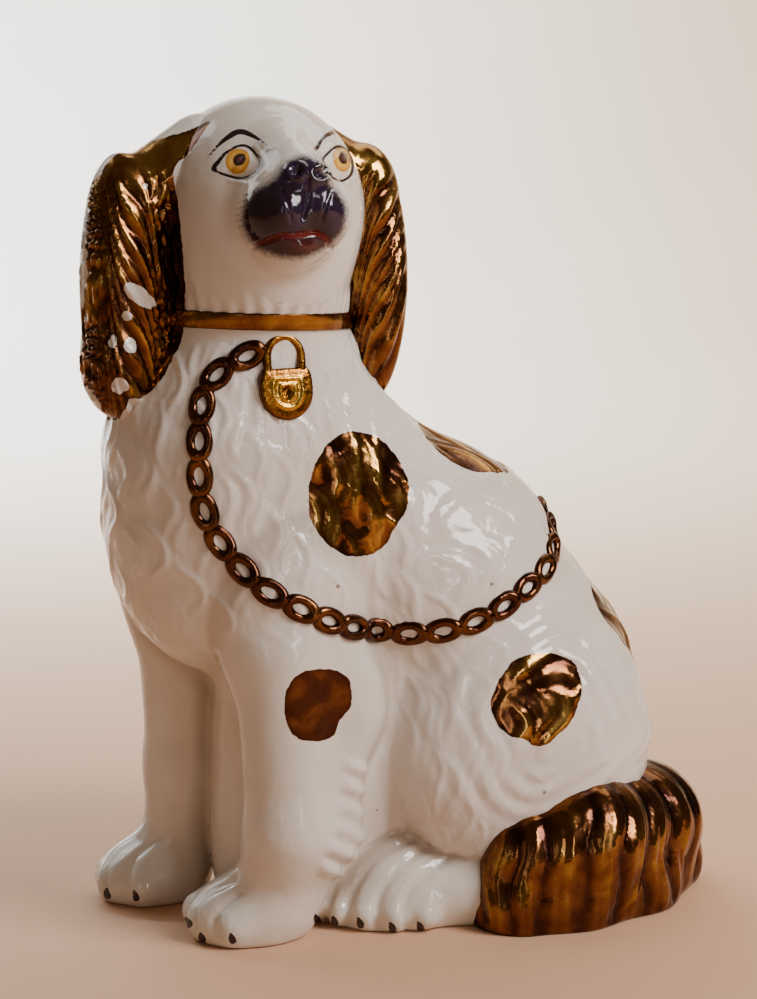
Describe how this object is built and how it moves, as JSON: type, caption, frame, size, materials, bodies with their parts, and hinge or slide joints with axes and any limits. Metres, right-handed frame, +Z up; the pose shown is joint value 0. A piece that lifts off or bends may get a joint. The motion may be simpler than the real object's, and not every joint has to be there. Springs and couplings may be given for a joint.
{
  "type": "ceramic dog figurine",
  "caption": "Seated spaniel figurine in white-glazed earthenware with copper lustre ears, tail, spots, collar, padlock and chain; hollow, press-moulded.",
  "frame": {"origin": "on the table, under the middle of the figure's box", "axes": "+Z up; -X the way the chest faces; -Y the display side, the dog's left, towards which the head is turned"},
  "size_m": [0.2324, 0.1392, 0.293],
  "materials": {
    "white_glaze": "glossy lead glaze, faintly crazed",
    "copper_lustre": "mirror-like copper lustre over glaze",
    "gold_lustre": "bright gold-copper lustre over glaze",
    "bare_foot": "unglazed, dry earthenware"
  },
  "bodies": {
    "root": {"display_half_shell": "white_glaze", "plain_half_shell": "white_glaze", "base_slab": "bare_foot", "left_foreleg": "white_glaze", "right_foreleg": "white_glaze", "left_hind_paw": "white_glaze", "right_hind_paw": "white_glaze", "tail": "copper_lustre", "left_ear": "copper_lustre", "right_ear": "copper_lustre", "collar_band": "copper_lustre", "padlock": "gold_lustre", "chain": "copper_lustre"}
  },
  "joints": []
}
